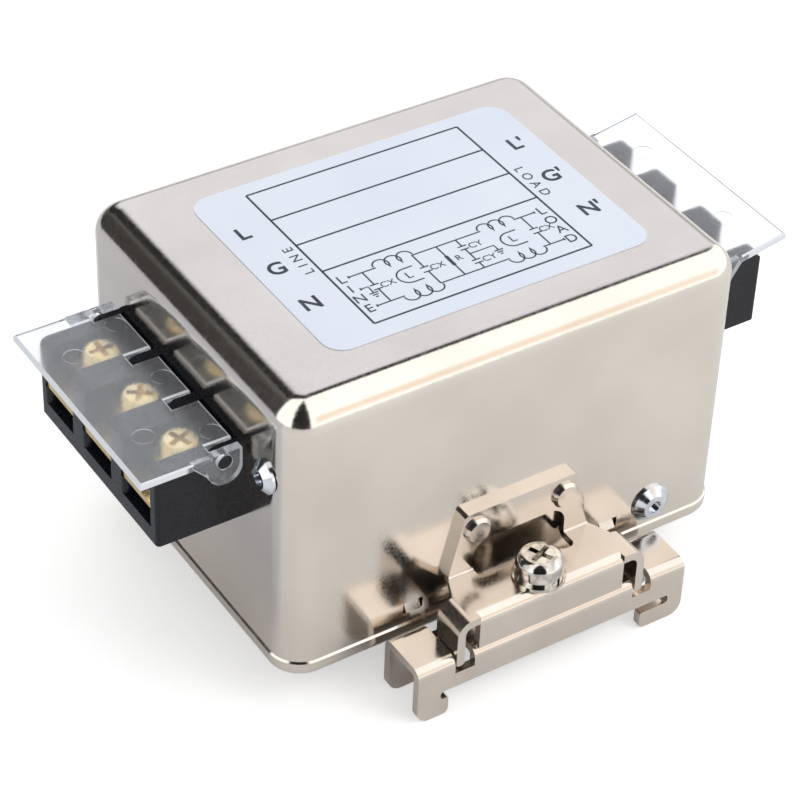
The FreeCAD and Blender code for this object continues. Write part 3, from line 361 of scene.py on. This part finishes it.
def clear_plastic_finish():
    # Clear moulding: slightly frosted faces, clear ears, and edges painted pale with a painted
    # glow, a painted highlight for the light they catch.
    material, tree, shader = fresh_material("clear_cover")
    shader.inputs["IOR"].default_value = COVER_IOR
    dark_tint, light_tint, mist_scale = COVER_MIST
    mist = object_noise(tree, mist_scale)
    tint = colour_between(tree, mist, dark_tint, light_tint)
    smooth, rough, grain_scale = COVER_FROSTING
    grain = object_noise(tree, grain_scale)
    coordinates = tree.nodes.new("ShaderNodeTexCoord")
    normal = absolute_parts(tree, coordinates.outputs["Normal"])
    place = absolute_parts(tree, coordinates.outputs["Object"])
    joints = frame["record"]["behaviour"]["joints"]
    ear_limit = max(abs(joint["pos_m"][0]) for joint in joints) + EAR_REACH * MM
    plate_share = value_range(tree, normal[2], 0.0, 1.0, *FACING_RANGE)
    ear_side = value_range(tree, normal[1], 0.0, 1.0, *FACING_RANGE)
    near_hinge = value_range(tree, place[0], 1.0, 0.0, ear_limit, ear_limit + EAR_FADE * MM)
    ear_share = two_values(tree, "MULTIPLY", ear_side, near_hinge)
    face_share = two_values(tree, "MAXIMUM", plate_share, ear_share)
    # Edge faces take the pale painted highlight colour; flat faces and ear sides take the tint.
    colour = mixed_colour(tree, face_share, EDGE_PAINTED_LIGHT_COLOUR, tint)
    tree.links.new(colour, shader.inputs["Base Color"])
    clearness = between(tree, face_share, EDGE_CLEARNESS, FACE_CLEARNESS)
    tree.links.new(clearness, shader.inputs["Transmission Weight"])
    # Painted glow: the edge faces give off light though they are no lamp.
    shader.inputs["Emission Color"].default_value = (*WHITE, 1.0)
    glow = between(tree, face_share, EDGE_PAINTED_GLOW, 0.0)
    tree.links.new(glow, shader.inputs["Emission Strength"])
    frosting = value_range(tree, grain, smooth, rough)
    ear_polish = between(tree, ear_share, 1.0, EAR_SMOOTHNESS)
    roughness = two_values(tree, "MULTIPLY", frosting, ear_polish)
    tree.links.new(roughness, shader.inputs["Roughness"])
    return material


def make_finishes():
    finishes = {"clear_plastic": clear_plastic_finish()}
    for name, look in METALS.items():
        finishes[name], shader = grained_finish(name, look, METAL_GRAIN_DETAIL)
        shader.inputs["Metallic"].default_value = 1.0
    for name, look in PLASTICS.items():
        finishes[name], shader = grained_finish(name, look, NOISE_DETAIL)
        if name == DULL_PLASTIC:
            shader.inputs["Specular IOR Level"].default_value = DULL_SHINE
    return finishes


# Pieces

def nothing_selected():
    bpy.ops.object.select_all(action="DESELECT")


def active_piece():
    return bpy.context.view_layer.objects.active


def make_active(piece):
    nothing_selected()
    piece.select_set(True)
    bpy.context.view_layer.objects.active = piece


def set_material(piece, material):
    piece.data.materials.clear()
    piece.data.materials.append(material)


def place_in_mesh(piece):
    make_active(piece)
    bpy.ops.object.transform_apply(location=True, rotation=True, scale=True)


def join_pieces(pieces, name):
    nothing_selected()
    for piece in pieces:
        piece.select_set(True)
    bpy.context.view_layer.objects.active = pieces[0]
    bpy.ops.object.join()
    joined = active_piece()
    joined.name = name
    return joined


def hand_over(piece, material, body, replaced=()):
    set_material(piece, material)
    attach(piece, body)
    if replaced:
        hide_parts(*replaced)


def smooth_copy(node, name):
    # Copy of a CAD node with its triangles merged, rounds shaded smooth and flats kept flat.
    make_active(frame["nodes"][node])
    bpy.ops.object.duplicate()
    piece = active_piece()
    piece.name = name
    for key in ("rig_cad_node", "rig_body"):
        if key in piece:
            del piece[key]
    piece.parent = None
    if piece.data.has_custom_normals:
        bpy.ops.mesh.customdata_custom_splitnormals_clear()
    bpy.ops.object.mode_set(mode="EDIT")
    bpy.ops.mesh.select_all(action="SELECT")
    bpy.ops.mesh.remove_doubles(threshold=MERGE_DISTANCE)
    bpy.ops.object.mode_set(mode="OBJECT")
    bpy.ops.object.shade_smooth_by_angle(angle=math.radians(SMOOTH_ANGLE))
    bpy.ops.object.modifier_add(type="WEIGHTED_NORMAL")
    weighting = piece.modifiers[-1]
    weighting.keep_sharp = True
    weighting.weight = FLAT_WEIGHT
    bpy.ops.object.modifier_apply(modifier=weighting.name)
    return piece


def dress_metal_and_plastic(finishes):
    bodies = frame["record"]["behaviour"]["bodies"]
    body_of = {node: body for body, nodes in bodies.items() for node in nodes}
    for part in frame["record"]["subparts"]:
        node, slot = part["node"], part["material_slot"]
        if node == "rating_label":
            continue
        if any(word in node for word in HIDDEN_WORDS):
            set_material(frame["nodes"][node], finishes[slot])
            continue
        piece = smooth_copy(node, node + "_finished")
        hand_over(piece, finishes[slot], body_of[node], (node,))


def make_label(finishes):
    # Sheet with rounded corners in the CAD label's place, a little lower to leave room for ink.
    # Gives the height of its top.
    low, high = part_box("rating_label")
    low = low.copy()
    high = high.copy()
    high.z -= LABEL_TOP_DROP * MM
    nothing_selected()
    bpy.ops.mesh.primitive_cube_add(size=1.0, location=(low + high) / 2)
    sheet = active_piece()
    sheet.name = "label_sheet"
    sheet.scale = high - low
    place_in_mesh(sheet)
    bpy.ops.object.mode_set(mode="EDIT")
    bpy.ops.mesh.select_mode(type="EDGE")
    bpy.ops.mesh.select_all(action="DESELECT")
    bpy.ops.object.mode_set(mode="OBJECT")
    for edge in sheet.data.edges:
        start, end = (sheet.data.vertices[i].co for i in edge.vertices)
        edge.select = abs(start.z - end.z) > 0.5 * (high.z - low.z)
    bpy.ops.object.mode_set(mode="EDIT")
    bpy.ops.mesh.bevel(offset=LABEL_CORNER * MM, segments=LABEL_CORNER_STEPS, affect="EDGES")
    bpy.ops.object.mode_set(mode="OBJECT")
    bpy.ops.object.shade_smooth_by_angle(angle=math.radians(LABEL_SMOOTH_ANGLE))
    hand_over(sheet, finishes["label_film"], "housing", ("rating_label",))
    return high.z


# Print on the label, in millimetres until a piece is made

def linked_piece(name, data):
    piece = bpy.data.objects.new(name, data)
    bpy.context.scene.collection.objects.link(piece)
    return piece


def stroke_curve(name, lines, width):
    # Printed lines: each is a list of (x, y) points.
    curve = bpy.data.curves.new(name, "CURVE")
    curve.dimensions = "3D"
    curve.bevel_depth = width * MM / 2
    curve.bevel_resolution = 1
    curve.use_fill_caps = True
    for line in lines:
        spline = curve.splines.new("POLY")
        spline.points.add(len(line) - 1)
        for point, (x, y) in zip(spline.points, line):
            point.co = (x * MM, y * MM, 0.0, 1.0)
    return linked_piece(name, curve)


def printed_text(words, x, y, size, turn=0.0, weight=0.0, spacing=1.0):
    text = bpy.data.curves.new("print_" + words.strip("'"), "FONT")
    text.body = words
    text.size = size * MM
    text.extrude = INK_SHEET * MM / 2
    text.offset = weight * MM
    text.space_character = spacing
    text.align_x = "CENTER"
    text.align_y = "CENTER"
    piece = linked_piece(text.name, text)
    piece.rotation_euler = (0.0, 0.0, math.radians(turn))
    piece.location = (x * MM, y * MM, 0.0)
    return piece


def lay_ink(pieces, name, ink_top, finishes):
    # Makes texts or curves one mesh, presses it to the ink's thickness and lays it on the label.
    for piece in pieces:
        make_active(piece)
        bpy.ops.object.convert(target="MESH")
        place_in_mesh(piece)
    ink = join_pieces(pieces, name)
    heights = [vertex.co.z for vertex in ink.data.vertices]
    middle = (max(heights) + min(heights)) / 2
    squeeze = INK_SHEET * MM / (max(heights) - min(heights))
    for vertex in ink.data.vertices:
        vertex.co.z = ink_top - INK_SHEET * MM / 2 + (vertex.co.z - middle) * squeeze
    hand_over(ink, finishes["label_ink"], "housing")


def arc(x, y, radius, first, last, steps=ARC_STEPS):
    points = []
    for k in range(steps + 1):
        angle = math.radians(first + (last - first) * k / steps)
        points.append((x + radius * math.cos(angle), y + radius * math.sin(angle)))
    return points


def coil(left, right, y, side):
    # Row of round humps with short open loops between them; side is +1 for humps that point up.
    pitch = (right - left) / COIL_HUMPS
    radius = pitch * HUMP_RADIUS
    points = []
    for i in range(COIL_HUMPS):
        middle = left + pitch * (i + 0.5)
        first = 180 if i == 0 else LOOP_START
        last = 0 if i == COIL_HUMPS - 1 else LOOP_END
        for across, up in arc(0.0, HUMP_RISE * radius, radius, first, last, HUMP_STEPS):
            points.append((middle + across, y + side * up))
        if i < COIL_HUMPS - 1:
            points.append((left + pitch * (i + 1), y - side * radius * LOOP_DROP))
    return points


def capacitor_mark(x, y, top, bottom, gap):
    # Two plates across a vertical wire that runs from top to bottom.
    left = x - PLATE_WIDTH / 2
    right = x + PLATE_WIDTH / 2
    return [
        [(x, top), (x, y + gap)],
        [(left, y + gap), (right, y + gap)],
        [(left, y - gap), (right, y - gap)],
        [(x, y - gap), (x, bottom)],
    ]


def ground_mark(x, y):
    marks = []
    for i, width in enumerate(GROUND_BARS):
        bar_y = y - GROUND_BAR_PITCH * i
        marks.append([(x - width / 2, bar_y), (x + width / 2, bar_y)])
    return marks


def circuit_lines():
    lines = []
    ends = [CIRCUIT_LEFT] + [x for spread in COILS for x in spread] + [CIRCUIT_RIGHT]
    for y, side in ((LINE_WIRE_Y, 1), (NEUTRAL_WIRE_Y, -1)):
        for start, end in zip(ends[::2], ends[1::2]):
            lines.append([(start, y), (end, y)])
        for left, right in COILS:
            lines.append(coil(left, right, y, side))
    middle_y = CIRCUIT_MIDDLE_Y
    for x in X_CAPACITOR_XS:
        lines += capacitor_mark(x, middle_y, LINE_WIRE_Y, NEUTRAL_WIRE_Y, X_PLATE_GAP)
    lines.append([(RESISTOR_X, LINE_WIRE_Y), (RESISTOR_X, NEUTRAL_WIRE_Y)])
    for y, top, bottom in (
        (UPPER_Y_CAPACITOR_Y, LINE_WIRE_Y, middle_y),
        (LOWER_Y_CAPACITOR_Y, middle_y, NEUTRAL_WIRE_Y),
    ):
        lines += capacitor_mark(Y_CAPACITOR_X, y, top, bottom, Y_PLATE_GAP)
    lines.append([(Y_CAPACITOR_X, middle_y), (GROUND_X, middle_y), (GROUND_X, GROUND_Y)])
    lines += ground_mark(GROUND_X, GROUND_Y)
    lines.append([
        (CIRCUIT_LEFT, EARTH_INLET_Y),
        (EARTH_INLET_X, EARTH_INLET_Y),
        (EARTH_INLET_X, EARTH_INLET_GROUND_Y),
    ])
    lines += ground_mark(EARTH_INLET_X, EARTH_INLET_GROUND_Y)
    for x in COIL_CORE_XS:
        radius = COIL_CORE_RADIUS
        half_ring = arc(x, middle_y, radius, 90, 270)
        lines.append(
            [(x + radius, middle_y + radius)] + half_ring + [(x + radius, middle_y - radius)]
        )
    return lines


def dot_lines():
    places = [
        (x, y) for x in (CIRCUIT_LEFT, CIRCUIT_RIGHT) for y in (LINE_WIRE_Y, NEUTRAL_WIRE_Y)
    ]
    places.append((CIRCUIT_LEFT, EARTH_INLET_Y))
    return [[(x - DOT_REACH, y), (x + DOT_REACH, y)] for x, y in places]


def frame_lines():
    lines = [[(PRINT_LEFT, y), (PRINT_RIGHT, y)] for y in (PRINT_BACK, PRINT_FRONT)]
    lines += [[(x, PRINT_BACK), (x, PRINT_FRONT)] for x in (PRINT_LEFT, PRINT_RIGHT)]
    return lines + [[(PRINT_LEFT, y), (PRINT_RIGHT, y)] for y in ROW_RULES]


def print_words():
    texts = []
    for words, x, y in TERMINAL_LETTERS:
        texts.append(
            printed_text(words, x, y, TERMINAL_LETTER_SIZE, weight=TERMINAL_LETTER_WEIGHT)
        )
    for words, x, y, turn, spacing in SIDE_WORDS:
        texts.append(printed_text(words, x, y, SIDE_WORD_SIZE, turn=turn, spacing=spacing))
    for words, x, first, last in UPRIGHT_WORDS:
        for i, letter in enumerate(words):
            y = first + (last - first) * i / (len(words) - 1)
            texts.append(printed_text(letter, x, y, UPRIGHT_LETTER_SIZE))
    for words, x, y in CIRCUIT_WORDS:
        size = COIL_LETTER_SIZE if words == "L" else CIRCUIT_WORD_SIZE
        texts.append(printed_text(words, x, y, size))
    return texts


def print_label(finishes, label_top):
    ink_top = label_top + (LABEL_TOP_DROP - INK_DROP) * MM
    resistor = [[(RESISTOR_X, y) for y in RESISTOR_ENDS]]
    strokes = [
        stroke_curve("print_frame", frame_lines(), FRAME_STROKE),
        stroke_curve("print_circuit", circuit_lines(), WIRE_STROKE),
        stroke_curve("print_resistor", resistor, RESISTOR_STROKE),
        stroke_curve("print_dots", dot_lines(), DOT_STROKE),
    ]
    lay_ink(print_words(), "label_letters", ink_top, finishes)
    lay_ink(strokes, "label_drawing", ink_top, finishes)


# Studio

def place_camera():
    camera = linked_piece("camera", bpy.data.cameras.new("camera"))
    across = math.cos(CAMERA_ELEVATION)
    forward = Vector((
        -math.sin(CAMERA_AZIMUTH) * across,
        math.cos(CAMERA_AZIMUTH) * across,
        -math.sin(CAMERA_ELEVATION),
    ))
    right = forward.cross(Vector((0.0, 0.0, 1.0))).normalized()
    up = right.cross(forward)
    rolled_right = right * math.cos(CAMERA_ROLL) + up * math.sin(CAMERA_ROLL)
    rolled_up = up * math.cos(CAMERA_ROLL) - right * math.sin(CAMERA_ROLL)
    turn = Matrix((rolled_right, rolled_up, -forward)).transposed()
    camera.matrix_world = Matrix.Translation(CAMERA_PLACE) @ turn.to_4x4()
    camera.data.lens = CAMERA_LENS
    camera.data.sensor_width = CAMERA_SENSOR
    camera.data.sensor_fit = "HORIZONTAL"
    camera.data.clip_start, camera.data.clip_end = CAMERA_CLIP
    bpy.context.scene.camera = camera


def add_lamp(name, place, target, size, power):
    lamp = bpy.data.lights.new(name, "AREA")
    lamp.shape = "RECTANGLE"
    lamp.size, lamp.size_y = size
    lamp.energy = power
    holder = linked_piece(name, lamp)
    holder.location = place
    aim = Vector(target) - Vector(place)
    holder.rotation_euler = aim.to_track_quat("-Z", "Y").to_euler()
    holder.visible_glossy = False


def reflected_studio(tree, direction):
    colour = ROOM_COLOUR
    for patch_colour, *limits in REFLECTED_PATCHES:
        shares = []
        for axis, edge, full in limits:
            facing = tree.nodes.new("ShaderNodeVectorMath")
            facing.operation = "DOT_PRODUCT"
            facing.inputs[1].default_value = Vector(axis).normalized()
            tree.links.new(direction, facing.inputs[0])
            shares.append(value_range(tree, facing.outputs["Value"], 0.0, 1.0, edge, full))
        share = shares[0]
        for other in shares[1:]:
            share = two_values(tree, "MINIMUM", share, other)
        colour = mixed_colour(tree, share, colour, patch_colour)
    return colour


def light_studio():
    # The air looks white to the camera and through clear plastic, lights the part as an even
    # grey, and shows the bare metal the bright and dark patches.
    for lamp in LAMPS:
        add_lamp(*lamp)
    world = bpy.data.worlds.new("studio_air")
    world.use_nodes = True
    bpy.context.scene.world = world
    tree = world.node_tree
    background = tree.nodes["Background"]
    direction = tree.nodes.new("ShaderNodeTexCoord").outputs["Generated"]
    path = tree.nodes.new("ShaderNodeLightPath").outputs
    air = (AIR_BRIGHTNESS, AIR_BRIGHTNESS, AIR_BRIGHTNESS)
    colour = mixed_colour(tree, path["Is Glossy Ray"], air, reflected_studio(tree, direction))
    colour = mixed_colour(tree, path["Is Camera Ray"], colour, WHITE)
    colour = mixed_colour(tree, path["Is Transmission Ray"], colour, WHITE)
    tree.links.new(colour, background.inputs["Color"])
    background.inputs["Strength"].default_value = 1.0


def floor_colour(tree, path):
    # Plain white, with a painted shade, seen only in reflections, where the wall at the line end
    # mirrors it.
    coordinates = tree.nodes.new("ShaderNodeTexCoord")
    parts = tree.nodes.new("ShaderNodeSeparateXYZ")
    tree.links.new(coordinates.outputs["Object"], parts.inputs["Vector"])
    wall_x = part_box("can_shell")[0].x
    start = wall_x - END_FLOOR_START * MM
    full = wall_x - END_FLOOR_FULL * MM
    side = END_FLOOR_SIDE * MM
    side_full = END_FLOOR_SIDE_FULL * MM
    beside = value_range(tree, parts.outputs["X"], 1.0, 0.0, full, start)
    along = value_range(tree, parts.outputs["Y"], 0.0, 1.0, side, side_full)
    shaded_part = two_values(tree, "MULTIPLY", beside, along)
    mirrored = two_values(tree, "MULTIPLY", shaded_part, path["Is Glossy Ray"])
    shaded = tuple(value * share for value, share in zip(FLOOR_COLOUR, END_FLOOR_SHADE))
    return mixed_colour(tree, mirrored, FLOOR_COLOUR, shaded)


def lay_floor():
    # The floor glows a little where it is seen directly, so that only the shadow stays grey.
    bpy.ops.mesh.primitive_plane_add(size=FLOOR_SIZE, location=(0.0, 0.0, 0.0))
    floor = active_piece()
    floor.name = "studio_floor"
    material, tree, shader = fresh_material("studio_floor")
    path = tree.nodes.new("ShaderNodeLightPath").outputs
    tree.links.new(floor_colour(tree, path), shader.inputs["Base Color"])
    shader.inputs["Roughness"].default_value = FLOOR_ROUGHNESS
    shader.inputs["Specular IOR Level"].default_value = 0.0
    glow = tree.nodes.new("ShaderNodeEmission")
    glow.inputs["Color"].default_value = (*WHITE, 1.0)
    seen = two_values(tree, "MAXIMUM", path["Is Camera Ray"], path["Is Transmission Ray"])
    tree.links.new(between(tree, seen, 0.0, FLOOR_GLOW), glow.inputs["Strength"])
    both = tree.nodes.new("ShaderNodeAddShader")
    tree.links.new(shader.outputs["BSDF"], both.inputs[0])
    tree.links.new(glow.outputs["Emission"], both.inputs[1])
    tree.links.new(both.outputs["Shader"], tree.nodes["Material Output"].inputs["Surface"])
    set_material(floor, material)


finishes = make_finishes()
dress_metal_and_plastic(finishes)
label_top = make_label(finishes)
print_label(finishes, label_top)
lay_floor()
light_studio()
place_camera()
bpy.context.scene.view_settings.view_transform = "Standard"
